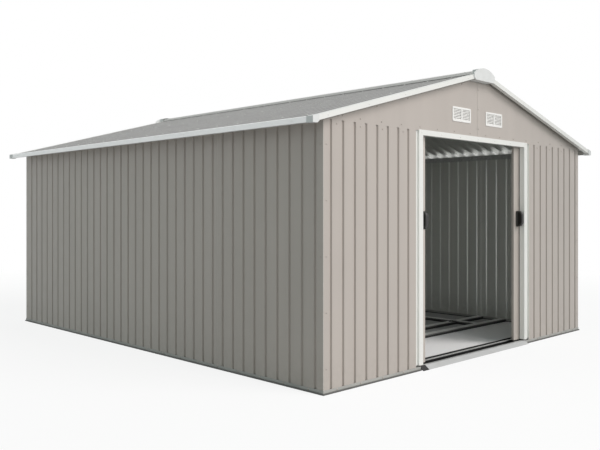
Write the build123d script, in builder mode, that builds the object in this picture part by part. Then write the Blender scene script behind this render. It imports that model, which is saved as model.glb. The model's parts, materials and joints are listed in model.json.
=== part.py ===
from build123d import *
import os
from math import cos, radians, tan

os.makedirs("parts", exist_ok=True)

# Overall sizes of the shed, over the faces of its walls
wall_width = 3140
wall_depth = 3710
wall_top = 1515
roof_pitch = 15
eave_rise = 29.3

# Sheet metal and its fluting
sheet = 2
flute_pitch = 101
flute_depth = 10
flute_mouth = 22
flute_floor = 12
lap_gap = 1
side_panels = 4
rear_panels = 3
flutes_per_side_panel = 9
first_side_flute = 62
first_front_flute = 60
front_flute_margin = 30

# Base rails and floor frame
rail_height = 25
rail_lip = 8
rail_step = 9
rail_gauge = 2
floor_rail_width = 60
first_cross_rail = 690
second_cross_rail = 920
cross_rail_pitch = 700
cross_rails_behind = 3
long_rail_spread = 1145

# Corner posts and top rails
post_leg = 40
top_rail_depth = 40

# Doorway, its frame and its tracks
door_half_opening = 648
jamb_face = 43
jamb_seam = 31
jamb_lap = 14
jamb_flange = 22
jamb_foot = 34
reveal_depth = 36
header_height = 34
header_lap = 6
track_end_gap = 55
track_rise = 23
track_height = 38
sill_depth = 132
channel_lead = 17
channel_width = 60
sill_rib = 22
ramp_reach = 25
ramp_gauge = 3
ramp_end = 26

# Sliding doors
door_thickness = 18
door_width = 677
door_exposure = 81
door_top_gap = 8
door_bottom_gap = 7
reveal_gap = 5
door_flutes = 6
first_door_flute = 90
door_flute_depth = 8

# Handles, top sliders and bottom shoes of the doors
handle_height = 118
handle_width = 26.5
handle_reach = 52
handle_corner = 35
handle_edge = 7
handle_rim = 13
handle_recess = 9
handle_inset = 33.5
handle_bottom = 888
slider_length = 60
slider_inset = 43
track_width = 36
track_mouth = 18
slider_plate = 4
slider_head = 16
slider_head_gap = 2
running_gap = 0.3
shoe_width = 8
shoe_length = 26
shoe_drop = 24

# Roof, its overhangs and its trims
eave_overhang = 130
rake_overhang = 46
trim = 2
rake_face = 30
rake_top_flange = 60
rake_soffit = 28
eave_face = 30
eave_flange = 30
ridge_gap = 12
purlin_spread = 785
purlin_height = 40
purlin_width = 30
ridge_beam_half = 30
ridge_beam_drop = 45
ridge_cap_half = 70
ridge_cap_rise = 20
corner_cap_size = 50
corner_cap_wall = 3
corner_cap_lip = 3
corner_cap_slant = 15
end_cap_half = 132
end_cap_drop = 66
end_cap_shoulder = 20
end_cap_side = 27
end_cap_corner = 22
end_cap_gauge = 6
end_cap_shelf = 4
hood_half = 76
hood_depth = 44
hood_lap = 24
hood_gap = 1

# Gable vents
vent_width = 222
vent_height = 98
vent_centre_x = 208
vent_rise = 140
vent_rim = 13
vent_gauge = 4
vent_slats = 7
slat_width = 10.5
slat_gauge = 2
slat_angle = 52
gable_lap = 10

# Values that follow from the sizes above
half_width = wall_width / 2
half_depth = wall_depth / 2
slope = tan(radians(roof_pitch))
tilt = cos(radians(roof_pitch))
ridge_height = wall_top + eave_rise + slope * half_width
sheet_drop = (flute_depth + sheet) / tilt
flange_drop = sheet / tilt
trim_lift = trim / tilt
frame_inset = flute_depth + sheet
eave_edge = half_width + eave_overhang
rake_edge = half_depth + rake_overhang
header_top = wall_top + header_lap
header_bottom = header_top - header_height
frame_outer = door_half_opening + jamb_face
seam_outer = frame_outer + jamb_seam
door_face = reveal_depth + reveal_gap
door_middle = door_face + door_thickness / 2
door_bottom = rail_height + door_bottom_gap
track_top = wall_top + track_rise
track_bottom = track_top - track_height
track_start = door_middle - track_width / 2
track_half_length = half_width - track_end_gap
door_top = track_bottom - door_top_gap
door_edge = door_half_opening - door_exposure
vent_centre_z = wall_top + vent_rise
end_cap_bottom = ridge_height - end_cap_drop


def roof_top(x):
    """Height of the roof sheets' outer face over a place across the shed."""
    return ridge_height - slope * abs(x)


def roof_under(x):
    """Height of the underside of the roof sheets' flutes."""
    return roof_top(x) - sheet_drop


def front_section(x=0):
    """Plane across the front: local x runs inward from the wall's face, local y upward."""
    return Plane(origin=(x, -half_depth, 0), x_dir=(0, 1, 0), z_dir=(1, 0, 0))


def side_section(y=0):
    """Plane across the left side: local x runs inward from the wall's face, local y upward."""
    return Plane(origin=(-half_width, y, 0), x_dir=(1, 0, 0), z_dir=(0, -1, 0))


def gable_plane(inset):
    """Upright plane across the shed, inset from the front wall's face and facing the front."""
    return Plane(origin=(0, inset - half_depth, 0), x_dir=(1, 0, 0), z_dir=(0, -1, 0))


def slope_section(x):
    """Plane across the right roof slope: local x runs to the rear, local y out of the roof."""
    return Plane(origin=(x, 0, roof_top(x)), x_dir=(0, 1, 0), z_dir=(1, 0, -slope))


def fluted_line(start, end, flutes, depth, level=0):
    """Points along a fluted sheet's face, from start to end along local x."""
    points = [(start, level)]
    for centre in flutes:
        points.append((centre - flute_mouth / 2, level))
        points.append((centre - flute_floor / 2, level - depth))
        points.append((centre + flute_floor / 2, level - depth))
        points.append((centre + flute_mouth / 2, level))
    points.append((end, level))
    return points


def fluted_strip(start, end, flutes):
    """Section of a fluted sheet whose outer face lies along local x."""
    outer = fluted_line(start, end, flutes, flute_depth)
    inner = fluted_line(start, end, flutes, flute_depth, -sheet)
    Polygon(*outer, *reversed(inner), align=None)


def fluted_panels(breaks, flutes):
    """Sections of neighbouring panels, split at the breaks with a gap at each lap."""
    for start, end in zip(breaks, breaks[1:]):
        held = [f for f in flutes if start + flute_mouth < f < end - flute_mouth]
        fluted_strip(start + lap_gap / 2, end - lap_gap / 2, held)


def folded(points, gauge, side=Side.LEFT):
    """Section of a strip of sheet folded along the points."""
    with BuildLine() as strip:
        Polyline(*points)
        offset(amount=gauge, side=side, kind=Kind.INTERSECTION)
    make_face(strip.edges())


left_mitres = [Plane(origin=(-half_width, s * half_depth, 0), z_dir=(-1, -s, 0)) for s in (-1, 1)]
front_mitres = [Plane(origin=(s * half_width, -half_depth, 0), z_dir=(-s, -1, 0)) for s in (-1, 1)]

# Base rails, mitred at the corners of the shed
rail_fold = [
    (-rail_gauge, rail_height),
    (-rail_gauge, rail_step),
    (-rail_lip, rail_step),
    (-rail_lip, 0),
    (frame_inset + sheet + rail_gauge, 0),
    (frame_inset + sheet + rail_gauge, rail_height),
]

with BuildPart() as base_rail_left:
    with BuildSketch(side_section()):
        folded(rail_fold, rail_gauge)
    extrude(amount=half_depth + rail_lip, both=True)
    for mitre in left_mitres:
        split(bisect_by=mitre, keep=Keep.TOP)

with BuildPart() as base_rail_right:
    mirror(base_rail_left.part, about=Plane.YZ)

with BuildPart() as full_front_rail:
    with BuildSketch(front_section()):
        folded(rail_fold, rail_gauge)
    extrude(amount=half_width + rail_lip, both=True)
    for mitre in front_mitres:
        split(bisect_by=mitre, keep=Keep.TOP)

with BuildPart() as base_rail_rear:
    mirror(full_front_rail.part, about=Plane.XZ)

with BuildPart() as base_rail_front:
    add(full_front_rail.part)
    with BuildSketch(Plane.XY):
        with Locations((0, -half_depth)):
            Rectangle(2 * (door_half_opening + ramp_end), post_leg)
    extrude(amount=rail_height, mode=Mode.SUBTRACT)

# Bevelled threshold between the front rails
sill_start = frame_inset + sheet + rail_gauge
with BuildPart() as threshold_ramp:
    with BuildSketch(front_section()):
        folded([(-ramp_reach, 0), (rail_lip, rail_height), (sill_start, rail_height), (sill_start, 0)],
               ramp_gauge, Side.RIGHT)
    extrude(amount=door_half_opening + ramp_end, both=True)
    split(bisect_by=Plane.XY, keep=Keep.TOP)

# Lower track with a running channel, a rib and a drain channel
channel_start = door_middle - shoe_width / 2 - channel_lead
channel_end = channel_start + channel_width
sill_end = sill_start + sill_depth
with BuildPart() as sill_track:
    with BuildSketch(front_section()):
        folded([
            (sill_start, rail_height),
            (channel_start, rail_height),
            (channel_start, rail_gauge),
            (channel_end, rail_gauge),
            (channel_end, rail_height),
            (channel_end + sill_rib, rail_height),
            (channel_end + sill_rib, rail_gauge),
            (sill_end - rail_gauge, rail_gauge),
            (sill_end - rail_gauge, rail_height),
        ], rail_gauge, Side.RIGHT)
    extrude(amount=track_half_length, both=True)

# Floor frame of channels: cross rails from side to side, and long rails between them
cross_places = [first_cross_rail]
for i in range(cross_rails_behind + 1):
    cross_places.append(second_cross_rail + i * cross_rail_pitch)
floor_channel = [
    (-floor_rail_width / 2, 0),
    (-floor_rail_width / 2, rail_height),
    (floor_rail_width / 2, rail_height),
    (floor_rail_width / 2, 0),
]
with BuildPart() as floor_cross_rails:
    for place in cross_places:
        with BuildSketch(front_section()):
            folded([(place + x, z) for x, z in floor_channel], rail_gauge, Side.RIGHT)
        extrude(amount=half_width - sill_start, both=True)

with BuildPart() as floor_long_rails:
    for start, end in zip(cross_places, [*cross_places[1:], wall_depth - sill_start + floor_rail_width / 2]):
        for x in (-long_rail_spread, long_rail_spread):
            rail_end = end - floor_rail_width / 2
            with BuildSketch(Plane(origin=(x, rail_end - half_depth, 0), x_dir=(1, 0, 0), z_dir=(0, -1, 0))):
                folded(floor_channel, rail_gauge, Side.RIGHT)
            extrude(amount=rail_end - start - floor_rail_width / 2)

# Angle posts inside the corners
with BuildPart() as corner_post_front_left:
    with BuildSketch(Plane(origin=(-half_width, -half_depth, rail_gauge))):
        folded([(sheet + post_leg, sheet), (sheet, sheet), (sheet, sheet + post_leg)], sheet, Side.RIGHT)
    extrude(amount=wall_top - rail_gauge)

with BuildPart() as corner_post_front_right:
    mirror(corner_post_front_left.part, about=Plane.YZ)

with BuildPart() as corner_post_rear_left:
    mirror(corner_post_front_left.part, about=Plane.XZ)

with BuildPart() as corner_post_rear_right:
    mirror(corner_post_rear_left.part, about=Plane.YZ)

# Fluted walls, each side of panels that lap
side_flutes = [first_side_flute + flute_pitch * i for i in range(side_panels * flutes_per_side_panel)]
side_breaks = [sheet - lap_gap / 2]
for panel in range(1, side_panels):
    side_breaks.append(side_flutes[panel * flutes_per_side_panel] - flute_pitch / 2)
side_breaks.append(wall_depth - sheet + lap_gap / 2)
panel_height = wall_top - rail_gauge
with BuildPart() as left_wall:
    with BuildSketch(Plane(origin=(-half_width, -half_depth, rail_gauge), x_dir=(0, 1, 0))):
        fluted_panels(side_breaks, side_flutes)
    extrude(amount=panel_height)

with BuildPart() as right_wall:
    mirror(left_wall.part, about=Plane.YZ)

rear_flute_count = int((wall_width - flute_pitch) / flute_pitch) // 2 * 2 + 1
rear_flutes = [flute_pitch * (i - rear_flute_count // 2) for i in range(rear_flute_count)]
rear_lap = (rear_flute_count // rear_panels + 1) / 2 * flute_pitch
rear_breaks = [-half_width - lap_gap / 2, -rear_lap, rear_lap, half_width + lap_gap / 2]
with BuildPart() as rear_wall:
    with BuildSketch(Plane(origin=(0, half_depth, rail_gauge))):
        fluted_panels(rear_breaks, rear_flutes)
    extrude(amount=panel_height)

front_panel_width = half_width - seam_outer
front_flute_count = int((front_panel_width - first_front_flute - front_flute_margin) / flute_pitch) + 1
with BuildPart() as front_wall_right:
    with BuildSketch(Plane(origin=(half_width, -half_depth, rail_gauge), x_dir=(-1, 0, 0))):
        fluted_strip(0, front_panel_width, [first_front_flute + flute_pitch * i for i in range(front_flute_count)])
        with Locations((front_panel_width, 0)):
            Rectangle(sheet, flute_depth, align=(Align.MAX, Align.MAX))
    extrude(amount=panel_height)

with BuildPart() as front_wall_left:
    mirror(front_wall_right.part, about=Plane.YZ)

# Rails along the tops of the walls, with daylight between the side rails and the roof
with BuildPart() as top_rail_left:
    with BuildSketch(side_section()):
        folded([
            (frame_inset, wall_top - top_rail_depth),
            (frame_inset, wall_top + sheet),
            (top_rail_depth, wall_top + sheet),
        ], sheet, Side.RIGHT)
    extrude(amount=half_depth, both=True)
    for mitre in left_mitres:
        split(bisect_by=mitre, keep=Keep.TOP)

with BuildPart() as top_rail_right:
    mirror(top_rail_left.part, about=Plane.YZ)

with BuildPart() as top_rail_front:
    with BuildSketch(front_section()):
        folded([
            (frame_inset, header_bottom + sheet),
            (frame_inset, wall_top + sheet),
            (track_start, wall_top + sheet),
        ], sheet, Side.RIGHT)
    extrude(amount=half_width, both=True)
    for mitre in front_mitres:
        split(bisect_by=mitre, keep=Keep.TOP)

with BuildPart() as top_rail_rear:
    mirror(top_rail_front.part, about=Plane.XZ)

# Gable halves with stiffening flanges, cut for the vents; each right half laps over the left
with BuildPart() as gable_half:
    with BuildSketch(gable_plane(sheet)):
        Polygon((0, wall_top), (half_width, wall_top), (half_width, roof_under(half_width)),
                (0, roof_under(0)), align=None)
    extrude(amount=sheet)
    with BuildSketch(front_section()):
        with Locations((0, wall_top + sheet)):
            Rectangle(track_start, sheet, align=(Align.MIN, Align.MIN))
    extrude(amount=half_width)
    with BuildSketch(gable_plane(top_rail_depth / 2)):
        Polygon((0, roof_under(0) - flange_drop), (half_width, roof_under(half_width) - flange_drop),
                (half_width, roof_under(half_width)), (0, roof_under(0)), align=None)
    extrude(amount=top_rail_depth / 2)
    with BuildSketch(gable_plane(0)):
        with Locations((vent_centre_x, vent_centre_z)):
            Rectangle(vent_width - 2 * vent_rim, vent_height - 2 * vent_rim)
    extrude(amount=-sheet, mode=Mode.SUBTRACT)

with BuildPart() as front_gable_left:
    mirror(gable_half.part, about=Plane.YZ)

with BuildPart() as front_gable_right:
    add(gable_half.part)
    with BuildSketch(gable_plane(0)):
        with Locations((0, header_top)):
            Rectangle(2 * gable_lap, end_cap_bottom - header_top, align=(Align.CENTER, Align.MIN))
    extrude(amount=sheet)

with BuildPart() as rear_gable_left:
    mirror(front_gable_left.part, about=Plane.XZ)

with BuildPart() as rear_gable_right:
    mirror(front_gable_right.part, about=Plane.XZ)

# Louvred vents of the gables, each with a divider between two stacks of slats
slat_pitch = (vent_height - 2 * vent_rim) / vent_slats
with BuildPart() as front_vent:
    with BuildSketch(gable_plane(0)):
        with Locations((vent_centre_x, vent_centre_z)):
            RectangleRounded(vent_width, vent_height, vent_rim / 2)
        for side in (-1, 1):
            opening = (vent_width - 3 * vent_rim) / 2
            with Locations((vent_centre_x + side * (opening + vent_rim) / 2, vent_centre_z)):
                Rectangle(opening, vent_height - 2 * vent_rim, mode=Mode.SUBTRACT)
    extrude(amount=vent_gauge)
    for row in range(vent_slats):
        slat_z = vent_centre_z - (vent_slats - 1) / 2 * slat_pitch + row * slat_pitch
        with BuildSketch(front_section(vent_centre_x)):
            with Locations(Location((sheet / 2, slat_z), slat_angle)):
                Rectangle(slat_width, slat_gauge)
        extrude(amount=vent_width / 2 - vent_rim, both=True)

with BuildPart() as gable_vents:
    add(front_vent.part)
    mirror(front_vent.part, about=Plane.YZ)
    mirror(about=Plane.XZ)

# Door frame: a jamb each side, whose outer flange backs the wall's folded edge, and a header
with BuildPart() as door_jamb_right:
    with BuildSketch(Plane(origin=(0, -half_depth, jamb_foot))):
        folded([
            (seam_outer + jamb_lap, flute_depth),
            (frame_outer, flute_depth),
            (frame_outer, -sheet),
            (door_half_opening, -sheet),
            (door_half_opening, reveal_depth),
            (door_half_opening + jamb_flange, reveal_depth),
        ], sheet, Side.RIGHT)
    extrude(amount=header_bottom - jamb_foot)
    with BuildSketch(Plane(origin=(frame_outer, -half_depth + flute_depth, header_bottom))):
        Rectangle(jamb_seam + jamb_lap, sheet, align=(Align.MIN, Align.MIN))
    extrude(amount=wall_top - header_bottom)

with BuildPart() as door_jamb_left:
    mirror(door_jamb_right.part, about=Plane.YZ)

with BuildPart() as door_header:
    with BuildSketch(front_section()):
        folded([(-sheet, header_top), (-sheet, header_bottom), (reveal_depth, header_bottom)], sheet, Side.LEFT)
    extrude(amount=frame_outer, both=True)

# Upper track: a channel, open below, that carries the doors' sliders
with BuildPart() as upper_track:
    with BuildSketch(front_section()):
        track_end = track_start + track_width
        folded([
            (door_middle - track_mouth / 2, track_bottom),
            (track_start, track_bottom),
            (track_start, track_top),
            (track_end, track_top),
            (track_end, track_bottom),
            (door_middle + track_mouth / 2, track_bottom),
        ], sheet, Side.RIGHT)
    extrude(amount=track_half_length, both=True)

# Roof sheets, four lapped panels a slope
roof_flute_count = 2 * int(rake_edge / flute_pitch)
roof_flutes = [flute_pitch * (i - (roof_flute_count - 1) / 2) for i in range(roof_flute_count)]
roof_lap = (roof_flute_count // 4 + 1) * flute_pitch
roof_breaks = [-rake_edge - lap_gap / 2, -roof_lap, 0, roof_lap, rake_edge + lap_gap / 2]
with BuildPart() as roof_right:
    with BuildSketch(slope_section(ridge_gap)):
        fluted_panels(roof_breaks, roof_flutes)
    extrude(amount=(eave_edge - ridge_gap) / tilt)

with BuildPart() as roof_left:
    mirror(roof_right.part, about=Plane.YZ)

# Ridge beam and purlins under the sheets
beam_length = half_depth - top_rail_depth / 2
with BuildPart() as ridge_beam:
    with BuildSketch(Plane.XZ):
        folded([
            (-ridge_beam_half, roof_under(0) - ridge_beam_drop),
            (-ridge_beam_half, roof_under(ridge_beam_half)),
            (0, roof_under(0)),
            (ridge_beam_half, roof_under(ridge_beam_half)),
            (ridge_beam_half, roof_under(0) - ridge_beam_drop),
        ], sheet, Side.RIGHT)
    extrude(amount=beam_length, both=True)

with BuildPart() as roof_purlins:
    with BuildSketch(Plane(origin=(purlin_spread, 0, roof_under(purlin_spread)),
                           x_dir=(1, 0, -slope), z_dir=(0, -1, 0))):
        folded([(purlin_width, -purlin_height), (0, -purlin_height), (0, 0), (purlin_width, 0)],
               sheet, Side.RIGHT)
    extrude(amount=beam_length, both=True)
    mirror(about=Plane.YZ)

# Ridge cap on turned-down edges, standing on the rake trims and reaching under the end caps
with BuildPart() as ridge_cap:
    with BuildSketch(Plane.XZ):
        cap_foot = roof_top(ridge_cap_half - sheet) + trim_lift
        cap_shoulder = roof_top(ridge_cap_half) + ridge_cap_rise
        folded([
            (-ridge_cap_half, cap_foot),
            (-ridge_cap_half, cap_shoulder),
            (0, ridge_height + ridge_cap_rise),
            (ridge_cap_half, cap_shoulder),
            (ridge_cap_half, cap_foot),
        ], sheet, Side.RIGHT)
    extrude(amount=rake_edge + trim - hood_depth + hood_lap, both=True)

# Rake trims over the sheets' front and rear edges
cap_x = eave_edge + trim + corner_cap_wall
cap_y = rake_edge + trim + corner_cap_wall
cap_inner = cap_x - corner_cap_size
with BuildPart() as rake_trims:
    with BuildSketch(slope_section(ridge_gap)):
        rake_front = -rake_edge - trim
        folded([
            (rake_front + rake_top_flange, trim),
            (rake_front, trim),
            (rake_front, trim - rake_face),
            (rake_front + rake_soffit, trim - rake_face),
        ], trim, Side.LEFT)
    extrude(amount=(eave_edge - ridge_gap) / tilt)
    split(bisect_by=Plane.YZ.offset(cap_inner), keep=Keep.BOTTOM)
    mirror(about=Plane.YZ)
    mirror(about=Plane.XZ)

# Eave trims along the sheets' lower edges
eave_front = eave_edge + trim
eave_top = roof_top(eave_front) + trim_lift
with BuildPart() as eave_trims:
    with BuildSketch(Plane.XZ):
        folded([
            (eave_front - eave_flange, roof_top(eave_front - eave_flange) + trim_lift),
            (eave_front, eave_top),
            (eave_front, eave_top - eave_face),
            (eave_front - eave_flange, eave_top - eave_face),
        ], trim, Side.RIGHT)
    extrude(amount=cap_y - corner_cap_size, both=True)
    mirror(about=Plane.YZ)

# Moulded caps where the eave and rake trims meet
cap_bottom = eave_top - eave_face - corner_cap_lip
cap_lift = roof_top(cap_inner) + trim_lift - rake_face / tilt - corner_cap_lip - cap_bottom
cap_top = ridge_height + trim_lift + corner_cap_wall / tilt
with BuildPart() as corner_caps:
    with BuildSketch(Plane.XZ.offset(cap_y - corner_cap_size)):
        Polygon((cap_inner, cap_bottom + cap_lift), (cap_inner + corner_cap_slant, cap_bottom),
                (cap_x, cap_bottom), (cap_x, cap_top - slope * cap_x),
                (cap_inner, cap_top - slope * cap_inner), align=None)
    extrude(amount=corner_cap_size)
    with BuildSketch(Plane.XZ.offset(cap_y - corner_cap_size)):
        inner_x = cap_x - corner_cap_wall
        inner_bottom = cap_bottom + corner_cap_wall
        Polygon((cap_inner, inner_bottom + cap_lift), (cap_inner + corner_cap_slant, inner_bottom),
                (inner_x, inner_bottom), (inner_x, roof_top(inner_x)),
                (cap_inner, roof_top(cap_inner)), align=None)
    extrude(amount=corner_cap_size - corner_cap_wall, mode=Mode.SUBTRACT)
    mirror(about=Plane.YZ)
    mirror(about=Plane.XZ)

# Moulded caps over the ends of the ridge: an arched face, a hood behind it and a shelf below
hood_top = ridge_height + ridge_cap_rise + hood_gap + sheet
shoulder_z = ridge_height - end_cap_shoulder
side_z = shoulder_z - end_cap_side
arch_drop = hood_top - shoulder_z
arch_radius = (end_cap_half ** 2 + arch_drop ** 2) / (2 * arch_drop)
end_cap_plane = Plane.XZ.offset(rake_edge + trim)
with BuildPart() as front_end_cap:
    with BuildSketch(end_cap_plane):
        with BuildLine():
            ThreePointArc((-end_cap_half, shoulder_z), (0, hood_top), (end_cap_half, shoulder_z))
            Polyline((end_cap_half, shoulder_z), (end_cap_half, side_z),
                     (end_cap_half - end_cap_corner, end_cap_bottom),
                     (end_cap_corner - end_cap_half, end_cap_bottom), (-end_cap_half, side_z),
                     (-end_cap_half, shoulder_z))
        make_face()
    extrude(amount=end_cap_gauge)
    with BuildSketch(end_cap_plane):
        with Locations((0, hood_top - arch_radius)):
            Circle(arch_radius)
        Polygon((-hood_half, roof_top(hood_half) + trim_lift), (0, ridge_height + trim_lift),
                (hood_half, roof_top(hood_half) + trim_lift), (hood_half, hood_top),
                (-hood_half, hood_top), align=None, mode=Mode.INTERSECT)
        with BuildSketch(mode=Mode.SUBTRACT):
            with Locations((0, hood_top - arch_radius)):
                Circle(arch_radius - sheet)
            with Locations((0, ridge_height)):
                Rectangle(2 * (hood_half - sheet), 2 * hood_half, mode=Mode.INTERSECT)
    extrude(amount=-hood_depth)
    with BuildSketch(end_cap_plane):
        with Locations((0, end_cap_bottom)):
            Rectangle(2 * (end_cap_half - end_cap_corner), end_cap_shelf, align=(Align.CENTER, Align.MIN))
    extrude(amount=-rake_overhang - trim)

with BuildPart() as ridge_end_caps:
    add(front_end_cap.part)
    mirror(about=Plane.XZ)

# Sliding door leaf: a fluted pan with turned edges, standing open beside the doorway
door_end = door_edge + door_width
leaf_flutes = [-door_edge - first_door_flute - flute_pitch * i for i in reversed(range(door_flutes))]
leaf_plane = Plane(origin=(0, -half_depth + door_face, door_bottom), x_dir=(-1, 0, 0))
with BuildPart() as right_door_leaf:
    with BuildSketch(leaf_plane):
        Polygon(*fluted_line(-door_end, -door_edge, leaf_flutes, door_flute_depth),
                (-door_edge, -door_thickness), (-door_end, -door_thickness), align=None)
    extrude(amount=door_top - door_bottom)
    with BuildSketch(leaf_plane.offset(sheet)):
        pocket_start = -door_end + sheet
        pocket_end = -door_edge - sheet
        Polygon(*fluted_line(pocket_start, pocket_end, leaf_flutes, door_flute_depth, -sheet),
                (pocket_end, -door_thickness), (pocket_start, -door_thickness), align=None)
    extrude(amount=door_top - door_bottom - 2 * sheet, mode=Mode.SUBTRACT)

with BuildPart() as left_door_leaf:
    mirror(right_door_leaf.part, about=Plane.YZ)

# Moulded pull handle near the leading edge of the leaf, hollowed on both sides for the fingers
def pull_shape(rim):
    """Side outline of the handle, set in by a rim: a flat front between two round corners."""
    with Locations((door_face - rim, handle_bottom + handle_height / 2)):
        Rectangle(handle_reach - 2 * rim, handle_height - 2 * rim, align=(Align.MAX, Align.CENTER))
    fillet(vertices().group_by(Axis.X)[0], handle_corner - rim)


handle_start = door_edge + handle_inset
with BuildPart() as right_door_handle:
    with BuildSketch(front_section(handle_start)):
        pull_shape(0)
    extrude(amount=handle_width)
    sides = faces().sort_by(Axis.X)
    rims = sides[0].edges() + sides[-1].edges()
    fillet(rims.sort_by(Axis.Y)[:-2], handle_edge)
    with BuildSketch(front_section(handle_start), front_section(handle_start + handle_width - handle_recess)):
        pull_shape(handle_rim)
    extrude(amount=handle_recess, mode=Mode.SUBTRACT)

with BuildPart() as left_door_handle:
    mirror(right_door_handle.part, about=Plane.YZ)

# Glides of the door: sliders that hang in the upper track and shoes that run in the lower one
head_bottom = track_bottom + sheet + running_gap
with BuildPart() as right_door_glides:
    for place in (door_edge + slider_inset, door_end - slider_inset):
        with BuildSketch(front_section(place)):
            with Locations((door_middle, door_top)):
                Rectangle(track_mouth, slider_plate, align=(Align.CENTER, Align.MIN))
                Rectangle(slider_plate, head_bottom - door_top, align=(Align.CENTER, Align.MIN))
            with Locations((door_middle, head_bottom)):
                Rectangle(track_width - 2 * sheet - 2 * slider_head_gap, slider_head,
                          align=(Align.CENTER, Align.MIN))
        extrude(amount=slider_length / 2, both=True)
        with BuildSketch(front_section(place)):
            with Locations((door_middle, door_bottom)):
                Rectangle(shoe_width, shoe_drop, align=(Align.CENTER, Align.MAX))
        extrude(amount=shoe_length / 2, both=True)

with BuildPart() as left_door_glides:
    mirror(right_door_glides.part, about=Plane.YZ)

pieces = {
    "base_rail_left": base_rail_left,
    "base_rail_right": base_rail_right,
    "base_rail_front": base_rail_front,
    "base_rail_rear": base_rail_rear,
    "threshold_ramp": threshold_ramp,
    "sill_track": sill_track,
    "floor_cross_rails": floor_cross_rails,
    "floor_long_rails": floor_long_rails,
    "corner_post_front_left": corner_post_front_left,
    "corner_post_front_right": corner_post_front_right,
    "corner_post_rear_left": corner_post_rear_left,
    "corner_post_rear_right": corner_post_rear_right,
    "left_wall": left_wall,
    "right_wall": right_wall,
    "rear_wall": rear_wall,
    "front_wall_left": front_wall_left,
    "front_wall_right": front_wall_right,
    "top_rail_left": top_rail_left,
    "top_rail_right": top_rail_right,
    "top_rail_front": top_rail_front,
    "top_rail_rear": top_rail_rear,
    "front_gable_left": front_gable_left,
    "front_gable_right": front_gable_right,
    "rear_gable_left": rear_gable_left,
    "rear_gable_right": rear_gable_right,
    "gable_vents": gable_vents,
    "door_jamb_left": door_jamb_left,
    "door_jamb_right": door_jamb_right,
    "door_header": door_header,
    "upper_track": upper_track,
    "roof_left": roof_left,
    "roof_right": roof_right,
    "ridge_beam": ridge_beam,
    "roof_purlins": roof_purlins,
    "ridge_cap": ridge_cap,
    "rake_trims": rake_trims,
    "eave_trims": eave_trims,
    "corner_caps": corner_caps,
    "ridge_end_caps": ridge_end_caps,
    "left_door_leaf": left_door_leaf,
    "left_door_handle": left_door_handle,
    "left_door_glides": left_door_glides,
    "right_door_leaf": right_door_leaf,
    "right_door_handle": right_door_handle,
    "right_door_glides": right_door_glides,
}

for name, piece in pieces.items():
    piece.part.label = name
    export_step(piece.part, f"parts/{name}.step")
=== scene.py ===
import json
from math import cos, pi, radians, sin, tan

import bpy
from mathutils import Matrix, Vector


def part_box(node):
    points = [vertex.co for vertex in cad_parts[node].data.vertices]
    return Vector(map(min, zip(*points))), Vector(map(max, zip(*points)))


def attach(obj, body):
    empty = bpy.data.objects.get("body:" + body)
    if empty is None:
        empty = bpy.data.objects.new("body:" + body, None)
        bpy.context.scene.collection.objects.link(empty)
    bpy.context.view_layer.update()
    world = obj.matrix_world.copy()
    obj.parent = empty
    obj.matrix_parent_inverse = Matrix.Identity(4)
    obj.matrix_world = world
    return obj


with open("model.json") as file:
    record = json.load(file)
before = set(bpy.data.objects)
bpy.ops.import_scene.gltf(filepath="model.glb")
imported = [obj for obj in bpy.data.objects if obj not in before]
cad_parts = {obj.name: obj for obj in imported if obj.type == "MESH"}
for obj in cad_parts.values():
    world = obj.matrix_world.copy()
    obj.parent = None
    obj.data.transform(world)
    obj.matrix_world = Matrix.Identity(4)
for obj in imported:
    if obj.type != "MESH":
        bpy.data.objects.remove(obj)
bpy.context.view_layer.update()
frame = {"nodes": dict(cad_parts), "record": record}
nodes = frame["nodes"]

# Camera, solved from the corners of the walls in the photograph's 600 x 450 frame
CAMERA_PLACE = (-4.4798, -4.5770, 1.0127)
CAMERA_TURN = -43.71
CAMERA_LENS = 43.734
CAMERA_SHIFT = (0.029, -0.025)
CAMERA_SENSOR = 36
CAMERA_REACH = 100

# Places on the shed that the added pieces and the finishes follow, in metres and degrees
WALL_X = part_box("right_wall")[1].x
WALL_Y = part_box("rear_wall")[1].y
WALL_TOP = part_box("right_wall")[1].z
ROOF_PITCH = 15
SLOPE = tan(radians(ROOF_PITCH))
EAVE_RISE = 0.0293
RIDGE_TOP = WALL_TOP + EAVE_RISE + SLOPE * WALL_X
RIDGE_CAP_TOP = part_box("ridge_cap")[1].z
EAVE_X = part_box("eave_trims")[1].x
RAKE_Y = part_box("rake_trims")[1].y
HEADER_BOTTOM, HEADER_TOP = (corner.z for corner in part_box("door_header"))
HEADER_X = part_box("door_header")[1].x
FRAME_FACE_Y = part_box("door_header")[0].y
DOOR_HALF_OPENING = 0.648
# Left of this the ramp is painted black, as painted shade in its hollow end
RAMP_SHADE_X = -0.612
HANDLE_RIM = 0.008

# Flutes of the sheets
FLUTE_PITCH = 0.101
FIRST_SIDE_FLUTE = 0.062
FIRST_FRONT_FLUTE = 0.060
SHEET = 0.002

# Paint and other finishes, as linear colours
CREAM = (0.475, 0.430, 0.395)
INNER_COAT = (0.76, 0.77, 0.73)
ROOF_GREY = (0.168, 0.168, 0.161)
UNDERSIDE = (0.88, 0.89, 0.86)
TRIM_WHITE = (0.80, 0.80, 0.775)
# Lighter white for trim faces that look sideways: painted light on the shaded reveals of the jambs
SIDE_PAINTED_LIGHT_WHITE = (0.93, 0.93, 0.90)
# Lighter, bluer white than the other trims, as painted light on the shaded faces of the eave trims
EAVE_PAINTED_LIGHT_WHITE = (0.86, 0.87, 0.87)
RIDGE_GREY = (0.62, 0.62, 0.60)
CAP_WHITE = (0.72, 0.73, 0.725)
VENT_WHITE = (0.87, 0.86, 0.84)
ZINC = (0.60, 0.61, 0.60)
RAIL_LIP = (0.40, 0.40, 0.38)
RAIL_DARK = (0.10, 0.10, 0.095)
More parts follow.
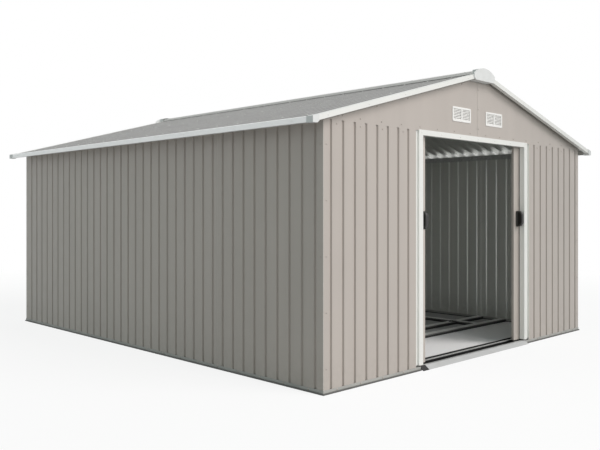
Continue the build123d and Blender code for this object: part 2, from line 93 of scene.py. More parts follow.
# Floor rails: the top is painted pale as light and the sides dark as shade
RAIL_TOP_PAINTED_LIGHT = (0.74, 0.75, 0.73)
RAIL_SIDE_PAINTED_SHADE = (0.16, 0.16, 0.155)
RAMP_GREY = (0.50, 0.505, 0.505)
HANDLE_BLACK = (0.035, 0.035, 0.033)
# Painted shade in the hollow left end of the ramp
RAMP_END_PAINTED_SHADE = (0.012, 0.012, 0.012)
# Painted shade in the finger recesses of the handles
RECESS_PAINTED_SHADE = (0.006, 0.006, 0.006)
NYLON_BLACK = (0.03, 0.03, 0.03)
# Near black: grime at the bottom of the sill track, and painted shadow at the foot of the floor rails
GRIME_AND_SHADE_BLACK = (0.012, 0.012, 0.012)
DUST = (0.30, 0.28, 0.24)

# Bare zinc on the inner faces of the sheets, with far fainter dents than the paint outside
INNER_ROUGHNESS = 0.28
INNER_METAL = 0.35
UNDERSIDE_ROUGHNESS = 0.37
UNDERSIDE_METAL = 0.95
INNER_FLATNESS = 0.12
ROUNDED_BENDS = 2.6

# Metal in the finishes of the trims and of zinc, and the spangle of zinc
TRIM_METAL = 0.45
ZINC_METAL = 0.35
SPANGLE_SCALE = 130.0

# How far a normal leans before a face counts as one that looks sideways or up
FACES_SIDEWAYS = 0.7
FACES_UP = 0.5

# Dirt, scuffs, the darker foot of the base rails and the painted shadow at the foot of the floor rails:
# how strong they are, and the heights at which each starts and ends
WALL_DUST = 0.22
TRIM_DUST = 0.10
RIDGE_DUST = 0.15
SCUFFS = 0.2
DUST_TOP = 0.26
DUST_FULL = 0.02
BASE_FOOT_TOP = 0.0105
BASE_FOOT_FULL = 0.0085
# Height below which the floor rails' sides are painted near black as shadow
RAIL_FOOT = 0.014
RAIL_FOOT_BLUR = 0.002
TRACK_GRIME_TOP = 0.0235
TRACK_GRIME_BLUR = 0.001

# Heights of the bumps in the finishes, in metres
DENT_HEIGHT = 0.0022
WAVE_HEIGHT = 0.0006
MOTTLE_HEIGHT = 0.0002
GRIT_HEIGHT = 0.0001
MOULD_HEIGHT = 0.00006
PEEL_HEIGHT = 0.00003
SPANGLE_HEIGHT = 0.00002

# Range that noise mostly keeps to
NOISE_LOW = 0.3
NOISE_HIGH = 0.7

# Floor, whitened outside the shed for the camera and for reflections; indoors, painted light on a band
# inside the doorway and painted shade beyond it
FLOOR_COLOUR = 0.5
SEEN_FLOOR_COLOUR = 0.9
THRESHOLD_PAINTED_LIGHT = 0.93
INDOOR_PAINTED_SHADE = 0.45
THRESHOLD_END = -1.17
THRESHOLD_BLUR = 0.01
FLOOR_WHITENING = 0.85
FLOOR_REACH = 30
FADE_START = 2.5
FADE_LENGTH = 3.0

# Lamps, and the light from all round
WHITE = (1, 1, 1)
AMBIENT = (0.875, 0.985, 0.965)
AMBIENT_LEVEL = 0.5
KEY_LEVEL = 0.52
KEY_TILT = 50
KEY_SWING = 25
KEY_COLOUR = (1, 0.94, 0.93)
KEY_WIDTH = 34
FILL_POWER = 300
FILL_SPREAD = 62
FILL_SOFTNESS = 0.4
FILL_PLACE = (-0.9, -7.2, 2.8)
FILL_TARGET = (-1.1, -1.85, 1.0)
INDOOR_POWER = 1.8
INDOOR_PLACE = (0, -0.5, 1.5)
INDOOR_SIZE = (1.4, 2.2)


class Tree:
    """A node tree with short ways to add nodes and join them."""

    def __init__(self, tree):
        self.tree = tree
        self.tree.nodes.clear()

    def add(self, kind, inputs=None, **settings):
        """Adds a node; an input given as a socket is linked, and any other is set."""
        node = self.tree.nodes.new(kind)
        for name, value in settings.items():
            setattr(node, name, value)
        for name, value in (inputs or {}).items():
            if isinstance(value, bpy.types.NodeSocket):
                self.tree.links.new(value, node.inputs[name])
            else:
                node.inputs[name].default_value = value
        return node

    def math(self, operation, a, b=0.0):
        return self.add("ShaderNodeMath", {0: a, 1: b}, operation=operation).outputs[0]

    def between(self, value, low, high):
        """Rises from 0 to 1 as the value goes from low to high."""
        inputs = {"Value": value, "From Min": low, "From Max": high}
        return self.add("ShaderNodeMapRange", inputs).outputs[0]

    def ranged(self, noise, low, high):
        """Noise moved from its usual range to one from low to high."""
        inputs = {
            "Value": noise,
            "From Min": NOISE_LOW,
            "From Max": NOISE_HIGH,
            "To Min": low,
            "To Max": high,
        }
        return self.add("ShaderNodeMapRange", inputs).outputs[0]

    def mix(self, factor, a, b, blend="MIX"):
        node = self.add("ShaderNodeMix", {0: factor, 6: a, 7: b}, data_type="RGBA", blend_type=blend)
        return node.outputs[2]

    def grey(self, value):
        """A colour of one grey level, worked out from a value."""
        return self.add("ShaderNodeCombineColor", {0: value, 1: value, 2: value}).outputs[0]

    def noise(self, scale, detail=2.0, stretch=(1, 1, 1)):
        """Noise in the piece's own space, with its grain stretched along the axes."""
        coords = self.add("ShaderNodeTexCoord").outputs["Object"]
        mapping = self.add("ShaderNodeMapping", {"Vector": coords, "Scale": stretch})
        inputs = {"Vector": mapping.outputs[0], "Scale": scale, "Detail": detail}
        return self.add("ShaderNodeTexNoise", inputs).outputs[0]

    def place(self):
        """The point's own x, y and z."""
        coords = self.add("ShaderNodeTexCoord").outputs["Object"]
        return self.add("ShaderNodeSeparateXYZ", {0: coords}).outputs

    def normal(self):
        coords = self.add("ShaderNodeTexCoord").outputs["Normal"]
        return self.add("ShaderNodeSeparateXYZ", {0: coords}).outputs

    def looked_at(self):
        """1 where the camera or a reflection looks straight at the surface, and 0 elsewhere."""
        path = self.add("ShaderNodeLightPath").outputs
        return self.math("MAXIMUM", path["Is Camera Ray"], path["Is Glossy Ray"])

    def rounded(self, mask, axis):
        """The normal, turned towards an axis where the mask is 1, as on a rounded bend."""
        normal = self.add("ShaderNodeTexCoord").outputs["Normal"]
        stretch = self.math("ADD", 1.0, self.math("MULTIPLY", mask, ROUNDED_BENDS))
        scale = self.add("ShaderNodeCombineXYZ", {0: 1.0, 1: 1.0, 2: 1.0})
        self.tree.links.new(stretch, scale.inputs[axis])
        turned = self.add("ShaderNodeVectorMath", {0: normal, 1: scale.outputs[0]}, operation="MULTIPLY")
        return self.add("ShaderNodeVectorMath", {0: turned.outputs[0]}, operation="NORMALIZE").outputs[0]

    def varied(self, colour, noise, amount):
        """The colour made lighter and darker by up to the amount, after the noise."""
        level = self.ranged(noise, 1 - amount, 1 + amount)
        return self.mix(1.0, colour, self.grey(level), "MULTIPLY")

    def worn(self, level, spread):
        """A roughness that patches of wear move up and down by the spread."""
        wear = self.noise(scale=14, detail=3)
        return self.ranged(wear, level - spread, level + spread)

    def bumps(self, *layers, base=None):
        """Stacks bumps, each a height and the distance that it stands for in metres."""
        normal = base
        for height, distance in layers:
            inputs = {"Height": height, "Distance": distance, "Strength": 1.0}
            if normal:
                inputs["Normal"] = normal
            normal = self.add("ShaderNodeBump", inputs).outputs[0]
        return normal


def opaque(colour):
    return (*colour, 1)


def new_material(name):
    material = bpy.data.materials.new(name)
    material.use_nodes = True
    return material, Tree(material.node_tree)


def finish_material(t, colour, roughness, normal, metal=0.0):
    """Ends a material with its shader; the metal is a number or a socket."""
    inputs = {"Base Color": colour, "Roughness": roughness, "Metallic": metal, "Normal": normal}
    shader = t.add("ShaderNodeBsdfPrincipled", inputs)
    t.add("ShaderNodeOutputMaterial", {"Surface": shader.outputs[0]})


def painted_sheet(name, outer, inner, axis, edge=0.01, metal=INNER_METAL, inner_roughness=INNER_ROUGHNESS):
    """Baked paint on fluted sheet, over bare zinc inside; axis is the way that the outside faces.

    The edge is how far a face has to look outwards before it counts as painted.
    """
    material, t = new_material(name)
    upright = axis < 2
    facing = t.normal()[axis]
    if upright:
        facing = t.math("MULTIPLY", facing, t.place()[axis])
    outside = t.math("GREATER_THAN", facing, edge)
    inside = t.math("SUBTRACT", 1.0, outside)
    streaks = t.noise(scale=9, detail=3, stretch=(1, 1, 0.06) if upright else (0.06, 1, 1))
    blotches = t.noise(scale=1.6, detail=2)
    colour = t.mix(outside, opaque(inner), opaque(outer))
    colour = t.varied(colour, streaks, amount=0.025)
    colour = t.varied(colour, blotches, amount=0.02)
    if upright:
        low = t.between(t.place()[2], DUST_TOP, DUST_FULL)
        patches = t.between(t.noise(scale=26, detail=5), low=0.35, high=0.75)
        dusty = t.math("MULTIPLY", low, patches)
        colour = t.mix(t.math("MULTIPLY", dusty, WALL_DUST), colour, opaque(DUST))
    flatness = t.math("ADD", INNER_FLATNESS, t.math("MULTIPLY", outside, 1 - INNER_FLATNESS))
    dents = t.math("MULTIPLY", t.noise(scale=2.2, detail=1, stretch=(1, 1, 0.5)), flatness)
    peel = t.math("MULTIPLY", t.noise(scale=700, detail=2), outside)
    normal = t.bumps((dents, DENT_HEIGHT), (peel, PEEL_HEIGHT), base=t.rounded(inside, axis))
    outer_rough = t.math("MULTIPLY", t.worn(level=0.42, spread=0.05), outside)
    rough = t.math("ADD", outer_rough, t.math("MULTIPLY", inside, inner_roughness))
    finish_material(t, colour, rough, normal, t.math("MULTIPLY", inside, metal))
    return material


def painted_trim(name, colour, side=None, dust=TRIM_DUST, metal=0.0):
    """Baked paint on folded trims, with faint dust and handling marks; faces that look sideways may get a
    lighter white, as painted light on their shaded sides.
    """
    material, t = new_material(name)
    sideways = t.math("GREATER_THAN", t.math("ABSOLUTE", t.normal()[0]), FACES_SIDEWAYS)
    marks = t.noise(scale=4, detail=4)
    specks = t.between(t.noise(scale=60, detail=6), low=0.60, high=0.78)
    waves = t.noise(scale=5, detail=1)
    peel = t.noise(scale=650, detail=2)
    # Faces that look sideways take the lighter white, as painted light on their shade
    colour = t.mix(sideways, opaque(colour), opaque(side or colour))
    colour = t.varied(colour, marks, amount=0.018)
    colour = t.mix(t.math("MULTIPLY", specks, dust), colour, opaque(DUST))
    normal = t.bumps((waves, WAVE_HEIGHT), (peel, PEEL_HEIGHT))
    finish_material(t, colour, t.worn(level=0.38, spread=0.05), normal, metal)
    return material


def base_rail(name):
    """Painted rail whose foot is darker than the lip above it."""
    material, t = new_material(name)
    foot = t.between(t.place()[2], BASE_FOOT_TOP, BASE_FOOT_FULL)
    marks = t.noise(scale=12, detail=4)
    mottle = t.noise(scale=30, detail=3)
    peel = t.noise(scale=500, detail=2)
    colour = t.mix(foot, opaque(RAIL_LIP), opaque(RAIL_DARK))
    colour = t.varied(colour, marks, amount=0.08)
    normal = t.bumps((mottle, MOTTLE_HEIGHT), (peel, PEEL_HEIGHT))
    finish_material(t, colour, t.worn(level=0.5, spread=0.08), normal)
    return material


def ramp_paint(name):
    """Scuffed grey paint; the ramp's left end is painted black, as painted shade in its hollow end."""
    material, t = new_material(name)
    scuffs = t.between(t.noise(scale=30, detail=6, stretch=(0.3, 1, 1)), low=0.55, high=0.75)
    marks = t.noise(scale=5, detail=4)
    waves = t.noise(scale=5, detail=1)
    peel = t.noise(scale=650, detail=2)
    # The ramp's left end is painted black: painted shade in its hollow end
    painted_shade_end = t.math("LESS_THAN", t.place()[0], RAMP_SHADE_X)
    colour = t.varied(opaque(RAMP_GREY), marks, amount=0.04)
    colour = t.mix(t.math("MULTIPLY", scuffs, SCUFFS), colour, opaque(DUST))
    colour = t.mix(painted_shade_end, colour, opaque(RAMP_END_PAINTED_SHADE))
    normal = t.bumps((waves, WAVE_HEIGHT), (peel, PEEL_HEIGHT))
    finish_material(t, colour, t.worn(level=0.5, spread=0.06), normal)
    return material


def galvanised(name, colour, grimy_below=None):
    """Zinc-coated sheet with its spangle; the bottom of a track may be grimy."""
    material, t = new_material(name)
    coords = t.add("ShaderNodeTexCoord").outputs["Object"]
    spangle = t.add("ShaderNodeTexVoronoi", {"Vector": coords, "Scale": SPANGLE_SCALE})
    cell = t.add("ShaderNodeSeparateColor", {0: spangle.outputs["Color"]}).outputs[0]
    clouds = t.noise(scale=5, detail=4)
    grit = t.noise(scale=40, detail=3)
    colour = t.varied(opaque(colour), cell, amount=0.10)
    colour = t.varied(colour, clouds, amount=0.06)
    if grimy_below:
        grime = t.between(t.place()[2], grimy_below, grimy_below - TRACK_GRIME_BLUR)
        colour = t.mix(grime, colour, opaque(GRIME_AND_SHADE_BLACK))
    normal = t.bumps((grit, GRIT_HEIGHT), (cell, SPANGLE_HEIGHT))
    finish_material(t, colour, t.worn(level=0.46, spread=0.10), normal, ZINC_METAL)
    return material


def floor_rail(name):
    """Zinc-coated channel whose top is painted pale as light and whose sides are painted dark as shade,
    near black at the foot as painted shadow.
    """
    material, t = new_material(name)
    level = t.math("GREATER_THAN", t.normal()[2], FACES_UP)
    foot = t.between(t.place()[2], RAIL_FOOT + RAIL_FOOT_BLUR, RAIL_FOOT)
    marks = t.noise(scale=70, detail=4)
    grit = t.noise(scale=40, detail=3)
    # Painted light on the tops, painted shade on the sides and painted shadow at their foot
    top = t.varied(opaque(RAIL_TOP_PAINTED_LIGHT), marks, amount=0.06)
    side = t.mix(foot, opaque(RAIL_SIDE_PAINTED_SHADE), opaque(GRIME_AND_SHADE_BLACK))
    colour = t.mix(level, side, top)
    finish_material(t, colour, t.worn(level=0.5, spread=0.08), t.bumps((grit, GRIT_HEIGHT)))
    return material


def moulded(name, colour, roughness=0.5, recess=None):
    """Moulded plastic with a fine texture; a recess between two distances from the middle is painted near
    black, as painted shade in the recess.
    """
    material, t = new_material(name)
    marks = t.noise(scale=20, detail=3)
    texture = t.noise(scale=900, detail=3)
    mottle = t.noise(scale=25, detail=2)
    colour = t.varied(opaque(colour), marks, amount=0.03)
    if recess:
        # The recess is painted near black as shade
        distance = t.math("ABSOLUTE", t.place()[0])
        beyond = t.math("GREATER_THAN", distance, recess[0])
        within = t.math("LESS_THAN", distance, recess[1])
        colour = t.mix(t.math("MULTIPLY", beyond, within), colour, opaque(RECESS_PAINTED_SHADE))
    normal = t.bumps((texture, MOULD_HEIGHT), (mottle, MOTTLE_HEIGHT))
    finish_material(t, colour, t.worn(level=roughness, spread=0.05), normal)
    return material


def rubber(name):
    """Dull black rubber."""
    material, t = new_material(name)
    marks = t.noise(scale=80, detail=3)
    grit = t.noise(scale=300, detail=3)
    colour = t.varied(opaque(NYLON_BLACK), marks, amount=0.15)
    finish_material(t, colour, t.worn(level=0.75, spread=0.06), t.bumps((grit, GRIT_HEIGHT)))
    return material


handle_ends = [corner.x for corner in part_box("right_door_handle")]
handle_recess = (handle_ends[0] + HANDLE_RIM, handle_ends[1] - HANDLE_RIM)
materials = {
    "side_walls": painted_sheet("side_walls", CREAM, INNER_COAT, axis=0),
    "end_walls": painted_sheet("end_walls", CREAM, INNER_COAT, axis=1),
    "door_leaves": painted_sheet("door_leaves", CREAM, INNER_COAT, axis=1, edge=-0.01),
    "roof_sheets": painted_sheet(
        "roof_sheets", ROOF_GREY, UNDERSIDE, axis=2,
        metal=UNDERSIDE_METAL, inner_roughness=UNDERSIDE_ROUGHNESS,
    ),
    "trim_white": painted_trim("trim_white", TRIM_WHITE, SIDE_PAINTED_LIGHT_WHITE),
    # The eave trims' lighter white is painted light on their shaded faces
    "eave_painted_light_white": painted_trim("eave_painted_light_white", EAVE_PAINTED_LIGHT_WHITE, metal=TRIM_METAL),
    "ridge_grey": painted_trim("ridge_grey", RIDGE_GREY, dust=RIDGE_DUST, metal=TRIM_METAL),
    "cap_plastic": moulded("cap_plastic", CAP_WHITE),
    "vent_plastic": moulded("vent_plastic", VENT_WHITE),
    "rail_zinc": galvanised("rail_zinc", ZINC),
    "floor_rail_zinc": floor_rail("floor_rail_zinc"),
    "track_zinc": galvanised("track_zinc", ZINC, grimy_below=TRACK_GRIME_TOP),
    "base_rail_grey": base_rail("base_rail_grey"),
    "ramp_grey": ramp_paint("ramp_grey"),
    "handle_black": moulded("handle_black", HANDLE_BLACK, roughness=0.36, recess=handle_recess),
    "slider_nylon": moulded("slider_nylon", NYLON_BLACK),
    "rubber": rubber("rubber"),
    "screw_cream": painted_trim("screw_cream", CREAM),
}
FINISHES = {
    "left_wall": "side_walls",
    "right_wall": "side_walls",
    "left_door_leaf": "door_leaves",
    "right_door_leaf": "door_leaves",
    "eave_trims": "eave_painted_light_white",
    "sill_track": "track_zinc",
    "floor_cross_rails": "floor_rail_zinc",
    "floor_long_rails": "floor_rail_zinc",
    "wall_cream": "end_walls",
    "roof_grey": "roof_sheets",
}
for part in frame["record"]["subparts"]:
    name, slot = part["node"], part["material_slot"]
    finish = FINISHES.get(name, FINISHES.get(slot, slot))
    nodes[name].data.materials.clear()
    nodes[name].data.materials.append(materials[finish])


class Shape:
    """Points and faces gathered into one piece."""

    def __init__(self):
        self.points = []
        self.faces = []

    def add(self, points, faces, place=Matrix()):
        start = len(self.points)
        self.points.extend(place @ Vector(point) for point in points)
        self.faces.extend(tuple(start + i for i in face) for face in faces)

    def prism(self, first, second):
        """A solid between two outlines of as many points."""
        count = len(first)
        faces = [(i, (i + 1) % count, count + (i + 1) % count, count + i) for i in range(count)]
        faces += [tuple(reversed(range(count))), tuple(range(count, 2 * count))]
        self.add(first + second, faces)

    def pane(self, y, left, right, bottom, top):
        """A flat rectangle that faces the front."""
        corners = [(left, y, bottom), (right, y, bottom), (right, y, top), (left, y, top)]
        self.add(corners, [(0, 1, 2, 3)])

    def piece(self, name, body, slot, finish):
        mesh = bpy.data.meshes.new(name)
        mesh.from_pydata(self.points, [], self.faces)
        mesh.validate()
        mesh.materials.append(materials[finish])
        piece = bpy.data.objects.new(name, mesh)
        bpy.context.scene.collection.objects.link(piece)
        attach(piece, body)


# Distance of a hexagon's flats from its middle, as a share of its radius
HEXAGON_FLAT = cos(pi / 6)


def turned(rings, sides=12):
    """Points and faces of a turned shape: each ring is a radius, a height and whether it is six-sided."""
    points = []
    for radius, height, hexagon in rings:
        for i in range(sides):
            across = HEXAGON_FLAT if hexagon and i % 2 else 1
            angle = 2 * pi * i / sides
            points.append((radius * across * cos(angle), radius * across * sin(angle), height))
    faces = []
    for ring in range(len(rings) - 1):
        for i in range(sides):
            a = ring * sides + i
            b = ring * sides + (i + 1) % sides
            faces.append((a, b, b + sides, a + sides))
    faces.append(tuple(range(len(points) - sides, len(points))))
    return points, faces


# Hexagon heads on a washer, and small round heads
SCREW_HEAD = turned([
    (0.0062, 0, False),
    (0.0062, 0.0006, False),
    (0.0046, 0.0011, False),
    (0.0038, 0.0012, True),
    (0.0038, 0.0029, True),
    (0.0030, 0.0035, True),
])
SMALL_HEAD = turned([
    (0.0042, 0, False),
    (0.0042, 0.0006, False),
    (0.0034, 0.0018, False),
    (0.0016, 0.0024, False),
])


def facing(place, normal):
    """Stands a shape on a place, with its z along the normal."""
    turn = Vector(normal).to_track_quat("Z", "Y").to_matrix().to_4x4()
    return Matrix.Translation(Vector(place)) @ turn


def steps(start, end, spacing):
    """Places from start to end, about the spacing apart."""
    count = max(1, round(abs(end - start) / spacing))
    return [start + (end - start) * i / count for i in range(count + 1)]


def roof_top(x):
    """Height of the roof sheets over a place x."""
    return RIDGE_TOP - SLOPE * abs(x)


def add_screws(name, body, slot, finish, places, head=SCREW_HEAD):
    """Screws of one finish; each place comes with the way that it faces."""
    heads = Shape()
    for place, normal in places:
        heads.add(*head, facing(place, normal))
    heads.piece(name, body, slot, finish)


# Rows of screws in the walls: their height, and the thickness of the rail's lip under them
WALL_SCREW_ROWS = ((0.017, SHEET), (WALL_TOP - 0.022, 0))
POST_SCREW_INSET = 0.024

# Flats of a side wall, of a front wall beside the doorway and of half the rear wall
SIDE_FLATS = 36
FRONT_FLATS = 7
REAR_HALF_FLATS = 14

# Rows of screws in the roof, as distances from the ridge, and the last flat that has screws
ROOF_SCREW_ROWS = (0.115, 0.80, 1.555)
LAST_ROOF_FLAT = 17

# Runs of screws: start, end and about how far apart they are
POST_RUN = (0.14, WALL_TOP - 0.14, 0.3)
GABLE_FOOT_RUN = (0.10, WALL_X - 0.12, 0.202)
GABLE_SLOPE_RUN = (0.20, WALL_X - 0.16, 0.30)
GABLE_LAP_RUN = (WALL_TOP + 0.06, RIDGE_TOP - 0.12, 0.13)
RAKE_RUN = (0.20, EAVE_X - 0.12, 0.36)
EAVE_RUN = (-RAKE_Y + 0.16, RAKE_Y - 0.16, 0.5)
RIDGE_RUN = (-1.78, 1.78, 0.445)
HEADER_RUN = (-HEADER_X + 0.03, HEADER_X - 0.03, 0.21)
JAMB_RUN = (0.09, HEADER_BOTTOM - 0.09, 0.32)

# Places of the runs: how far above, below or beside an edge they lie
GABLE_FOOT_LIFT = 0.022
GABLE_SLOPE_DROP = 0.045
RAKE_SCREW_DROP = 0.013
EAVE_SCREW_DROP = 0.019
RIDGE_SCREW_X = 0.05
JAMB_SCREW_X = (DOOR_HALF_OPENING + HEADER_X) / 2
HEADER_SCREW_Z = (HEADER_BOTTOM + HEADER_TOP) / 2

# Vents in the gables, and their screws
VENT_X = 0.208
VENT_Z = WALL_TOP + 0.140
VENT_FACE_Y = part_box("gable_vents")[1].y
VENT_SCREWS_ACROSS = (-0.1045, 0, 0.1045)
VENT_SCREWS_UP = (-0.0425, 0.0425)


def wall_places():
    """Screws at the foot and the head of the walls, on every second flat, and up the corner posts."""
    places = []
    for side in (-1, 1):
        for height, lip in WALL_SCREW_ROWS:
            for i in range(0, SIDE_FLATS, 2):
                y = -WALL_Y + FIRST_SIDE_FLUTE + FLUTE_PITCH * (i + 0.5)
                places.append(((side * (WALL_X + lip), y, height), (side, 0, 0)))
            for i in range(0, FRONT_FLATS, 2):
                x = WALL_X - FIRST_FRONT_FLUTE - FLUTE_PITCH * (i + 0.5)
                places.append(((side * x, -WALL_Y - lip, height), (0, -1, 0)))
            for i in range(0, REAR_HALF_FLATS, 2):
                places.append(((side * FLUTE_PITCH * (i + 0.5), WALL_Y + lip, height), (0, 1, 0)))
        for z in steps(*POST_RUN):
            for end in (-1, 1):
                places.append(((side * WALL_X, end * (WALL_Y - POST_SCREW_INSET), z), (side, 0, 0)))
                places.append(((side * (WALL_X - POST_SCREW_INSET), end * WALL_Y, z), (0, end, 0)))
    return places


def gable_places():
    """Screws along the foot, the slopes and the lap of the gables."""
    places = []
    for end in (-1, 1):
        for side in (-1, 1):
            for x in steps(*GABLE_FOOT_RUN):
                places.append(((side * x, end * WALL_Y, WALL_TOP + GABLE_FOOT_LIFT), (0, end, 0)))
            for x in steps(*GABLE_SLOPE_RUN):
                places.append(((side * x, end * WALL_Y, roof_top(x) - GABLE_SLOPE_DROP), (0, end, 0)))
        for z in steps(*GABLE_LAP_RUN):
            places.append(((0, end * (WALL_Y + SHEET), z), (0, end, 0)))
    return places


def roof_places():
    """Screws of the roof sheets, on every second flat along the ridge, the purlins and the eaves."""
    places = []
    for side in (-1, 1):
        for x in ROOF_SCREW_ROWS:
            for i in range(-LAST_ROOF_FLAT, LAST_ROOF_FLAT + 1, 2):
                places.append(((side * x, FLUTE_PITCH * i, roof_top(x)), (side * SLOPE, 0, 1)))
    return places


def trim_places():
    """Screws of the rake trims and the eave trims."""
    places = []
    for end in (-1, 1):
        for side in (-1, 1):
            for x in steps(*RAKE_RUN):
                places.append(((side * x, end * RAKE_Y, roof_top(x) - RAKE_SCREW_DROP), (0, end, 0)))
    for side in (-1, 1):
        for y in steps(*EAVE_RUN):
            places.append(((side * EAVE_X, y, WALL_TOP - EAVE_SCREW_DROP), (side, 0, 0)))
    return places


def ridge_places():
    """Screws down both sides of the ridge cap."""
    places = []
    z = RIDGE_CAP_TOP - SLOPE * RIDGE_SCREW_X
    for side in (-1, 1):
        for y in steps(*RIDGE_RUN):
            places.append(((side * RIDGE_SCREW_X, y, z), (side * SLOPE, 0, 1)))
    return places


def frame_places():
    """Screws along the header and up the jambs."""
    places = []
    for x in steps(*HEADER_RUN):
        places.append(((x, FRAME_FACE_Y, HEADER_SCREW_Z), (0, -1, 0)))
    for side in (-1, 1):
        for z in steps(*JAMB_RUN):
            places.append(((side * JAMB_SCREW_X, FRAME_FACE_Y, z), (0, -1, 0)))
    return places


def vent_places():
    """Screws along the top and the foot of each vent."""
    places = []
    for end in (-1, 1):
        for side in (-1, 1):
            for across in VENT_SCREWS_ACROSS:
                for up in VENT_SCREWS_UP:
                    place = (side * (VENT_X + across), end * VENT_FACE_Y, VENT_Z + up)
                    places.append((place, (0, end, 0)))
    return places


add_screws("wall_screws", "shed", "wall_cream", "screw_cream", wall_places())
add_screws("gable_screws", "shed", "wall_cream", "screw_cream", gable_places())
add_screws("roof_screws", "shed", "roof_grey", "ridge_grey", roof_places())
add_screws("trim_screws", "shed", "trim_white", "trim_white", trim_places(), SMALL_HEAD)
add_screws("ridge_screws", "shed", "ridge_grey", "ridge_grey", ridge_places())
add_screws("frame_screws", "shed", "trim_white", "trim_white", frame_places(), SMALL_HEAD)
add_screws("vent_screws", "shed", "vent_plastic", "vent_plastic", vent_places(), SMALL_HEAD)

# Insect mesh behind the louvres of the vents
MESH_HALF = (0.100, 0.038)
MESH_STEP = 0.003
WIRE = 0.0007
MESH_INSET = 0.0058


def add_vent_mesh():
    half_width, half_height = MESH_HALF
    bottom = VENT_Z - half_height
    top = VENT_Z + half_height
    mesh = Shape()
    for end in (-1, 1):
        y = end * (WALL_Y - MESH_INSET)
        for side in (-1, 1):
            left = side * VENT_X - half_width
            right = side * VENT_X + half_width
            for x in steps(left, right, MESH_STEP):
                mesh.pane(y, x - WIRE, x + WIRE, bottom, top)
            for z in steps(bottom, top, MESH_STEP):
                mesh.pane(y, left, right, z - WIRE, z + WIRE)
    mesh.piece("vent_mesh", "shed", "vent_plastic", "vent_plastic")


add_vent_mesh()

# Folded tabs that close the ends of the header over the recessed flanges of the jambs
TAB_GAUGE = 0.0015
TAB_DEPTH = 0.0115
TAB_LAP = 0.012
TAB_GAP = 0.0001


def add_header_tabs():
    tabs = Shape()
    for side in (-1, 1):
        outer = side * (HEADER_X - TAB_GAP)
        inner = outer - side * TAB_GAUGE
        lap = outer - side * TAB_LAP
        front = FRAME_FACE_Y + SHEET
        back = front + TAB_DEPTH - SHEET
        outline = [
            (outer, front),
            (outer, back),
            (lap, back),
            (lap, back - TAB_GAUGE),
            (inner, back - TAB_GAUGE),
            (inner, front),
        ]
        foot = [(*point, HEADER_BOTTOM) for point in outline]
        head = [(*point, HEADER_TOP) for point in outline]
        tabs.prism(foot, head)
    tabs.piece("header_tabs", "shed", "trim_white", "trim_white")


add_header_tabs()

# Braces across the backs of the door leaves
BRACE_HEIGHTS = (0.36, 0.76, 1.16)
BRACE_HALF = 0.022
BRACE_GAUGE = 0.0012
BRACE_GAP = 0.0003
LEAF_SHEET_DEPTH = 0.010


def add_braces(name, body, leaf):
    low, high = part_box(leaf)
    braces = Shape()
    front = low.y + LEAF_SHEET_DEPTH + BRACE_GAP
    rear = high.y - BRACE_GAP
    left = low.x + SHEET + BRACE_GAP
    right = high.x - SHEET - BRACE_GAP
    for z in BRACE_HEIGHTS:
        section = [
            (front, z - BRACE_HALF),
            (front, z + BRACE_HALF),
            (rear, z + BRACE_HALF),
            (rear, z + BRACE_HALF - BRACE_GAUGE),
            (front + BRACE_GAUGE, z + BRACE_HALF - BRACE_GAUGE),
            (front + BRACE_GAUGE, z - BRACE_HALF + BRACE_GAUGE),
            (rear, z - BRACE_HALF + BRACE_GAUGE),
            (rear, z - BRACE_HALF),
        ]
        left_end = [(left, *point) for point in section]
        right_end = [(right, *point) for point in section]
        braces.prism(left_end, right_end)
    braces.piece(name, body, "rail_zinc", "rail_zinc")


add_braces("left_door_braces", "left_door", "left_door_leaf")
add_braces("right_door_braces", "right_door", "right_door_leaf")

# Corner brackets where the long floor rails meet the cross rails
BRACKET_X = 1.075
BRACKET_PLACES = (0.920, 1.620, 2.320, 3.020)
RAIL_TOP = 0.025
BRACKET_OUTLINE = [(-0.036, -0.028), (0.040, -0.028), (0.040, 0.028), (0.012, 0.028), (-0.036, 0.006)]
BRACKET_GAUGE = 0.004
BRACKET_TOP = RAIL_TOP + BRACKET_GAUGE
BOLTS_ACROSS = (-0.018, 0.026)
BOLT_FORWARD = 0.012


def add_brackets():
    brackets = Shape()
    bolts = Shape()
    for side in (-1, 1):
        for place in BRACKET_PLACES:
            x = side * BRACKET_X
            y = place - WALL_Y
            outline = [(x + side * across, y + along) for across, along in BRACKET_OUTLINE]
            underside = [(*point, RAIL_TOP) for point in outline]
            top = [(*point, BRACKET_TOP) for point in outline]
            brackets.prism(underside, top)
            for across in BOLTS_ACROSS:
                bolt = (x + side * across, y - BOLT_FORWARD, BRACKET_TOP)
                bolts.add(*SCREW_HEAD, facing(bolt, (0, 0, 1)))
    brackets.piece("floor_brackets", "shed", "slider_nylon", "rubber")
    bolts.piece("floor_bolts", "shed", "rail_zinc", "rail_zinc")


add_brackets()


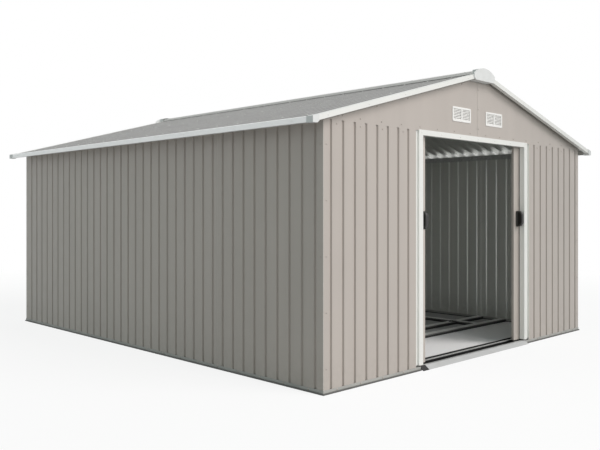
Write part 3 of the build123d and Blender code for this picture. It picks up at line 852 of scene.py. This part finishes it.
def add_floor():
    """A pale floor that keeps the shed's shadow, whitened outside the walls where it is looked at; indoors
    it has painted light on a band inside the doorway and painted shade beyond it.
    """
    mesh = bpy.data.meshes.new("floor")
    corners = ((-1, -1), (1, -1), (1, 1), (-1, 1))
    points = [(FLOOR_REACH * x, FLOOR_REACH * y, 0) for x, y in corners]
    mesh.from_pydata(points, [], [(0, 1, 2, 3)])
    floor = bpy.data.objects.new("floor", mesh)
    bpy.context.scene.collection.objects.link(floor)
    material, t = new_material("floor")
    x, y = t.place()[0:2]
    beyond_x = t.math("SUBTRACT", t.math("ABSOLUTE", x), WALL_X)
    beyond_y = t.math("SUBTRACT", t.math("ABSOLUTE", y), WALL_Y)
    beyond = t.math("MAXIMUM", beyond_x, beyond_y)
    outside = t.math("GREATER_THAN", beyond, 0)
    seen = t.math("MULTIPLY", outside, t.looked_at())
    fade = t.between(beyond, FADE_START, FADE_START + FADE_LENGTH)
    whitening = t.math("ADD", FLOOR_WHITENING, t.math("MULTIPLY", fade, 1 - FLOOR_WHITENING))
    # Indoors, painted light on the band inside the doorway and painted shade deeper in
    deep = t.between(y, THRESHOLD_END - THRESHOLD_BLUR, THRESHOLD_END + THRESHOLD_BLUR)
    indoors = t.mix(deep, opaque([THRESHOLD_PAINTED_LIGHT] * 3), opaque([INDOOR_PAINTED_SHADE] * 3))
    colour = t.mix(outside, indoors, opaque([FLOOR_COLOUR] * 3))
    colour = t.mix(seen, colour, opaque([SEEN_FLOOR_COLOUR] * 3))
    ground = t.add("ShaderNodeBsdfDiffuse", {"Color": colour}).outputs[0]
    white = t.add("ShaderNodeEmission", {"Color": opaque(WHITE), "Strength": 1.0}).outputs[0]
    share = t.math("MULTIPLY", seen, whitening)
    surface = t.add("ShaderNodeMixShader", {0: share, 1: ground, 2: white})
    t.add("ShaderNodeOutputMaterial", {"Surface": surface.outputs[0]})
    mesh.materials.append(material)


def add_world():
    """Even light from all round, which is white where it is looked at."""
    world = bpy.data.worlds.new("studio")
    bpy.context.scene.world = world
    world.use_nodes = True
    t = Tree(world.node_tree)
    ambient = t.add("ShaderNodeBackground", {"Color": opaque(AMBIENT), "Strength": AMBIENT_LEVEL})
    white = t.add("ShaderNodeBackground", {"Color": opaque(WHITE), "Strength": 1.0})
    both = t.add("ShaderNodeMixShader", {0: t.looked_at(), 1: ambient.outputs[0], 2: white.outputs[0]})
    t.add("ShaderNodeOutputWorld", {"Surface": both.outputs[0]})


def add_lamp(name, kind, power):
    """A lamp and the object that holds it."""
    lamp = bpy.data.lights.new(name, kind)
    lamp.energy = power
    holder = bpy.data.objects.new(name, lamp)
    bpy.context.scene.collection.objects.link(holder)
    return lamp, holder


def add_key():
    """Soft light from above, the front and the right."""
    lamp, holder = add_lamp("key", "SUN", KEY_LEVEL * pi)
    lamp.angle = radians(KEY_WIDTH)
    lamp.color = KEY_COLOUR
    holder.rotation_euler = (radians(KEY_TILT), 0, radians(KEY_SWING))


def add_fill():
    """Weak light on the front."""
    lamp, holder = add_lamp("fill", "SPOT", FILL_POWER)
    lamp.spot_size = radians(FILL_SPREAD)
    lamp.spot_blend = 1
    lamp.shadow_soft_size = FILL_SOFTNESS
    lamp.color = KEY_COLOUR
    holder.location = FILL_PLACE
    aim = Vector(FILL_TARGET) - Vector(FILL_PLACE)
    holder.rotation_euler = aim.to_track_quat("-Z", "Y").to_euler()


def add_indoor_light():
    """Faint light that falls from under the roof."""
    lamp, holder = add_lamp("indoor", "AREA", INDOOR_POWER)
    lamp.shape = "RECTANGLE"
    lamp.size, lamp.size_y = INDOOR_SIZE
    holder.location = INDOOR_PLACE
    holder.visible_camera = False
    holder.visible_glossy = False


def add_camera():
    data = bpy.data.cameras.new("camera")
    data.lens = CAMERA_LENS
    data.sensor_width = CAMERA_SENSOR
    data.shift_x, data.shift_y = CAMERA_SHIFT
    data.clip_end = CAMERA_REACH
    camera = bpy.data.objects.new("camera", data)
    camera.location = CAMERA_PLACE
    camera.rotation_euler = (radians(90), 0, radians(CAMERA_TURN))
    bpy.context.scene.collection.objects.link(camera)
    bpy.context.scene.camera = camera


add_floor()
add_world()
add_key()
add_fill()
add_indoor_light()
add_camera()
bpy.context.scene.view_settings.view_transform = "Standard"
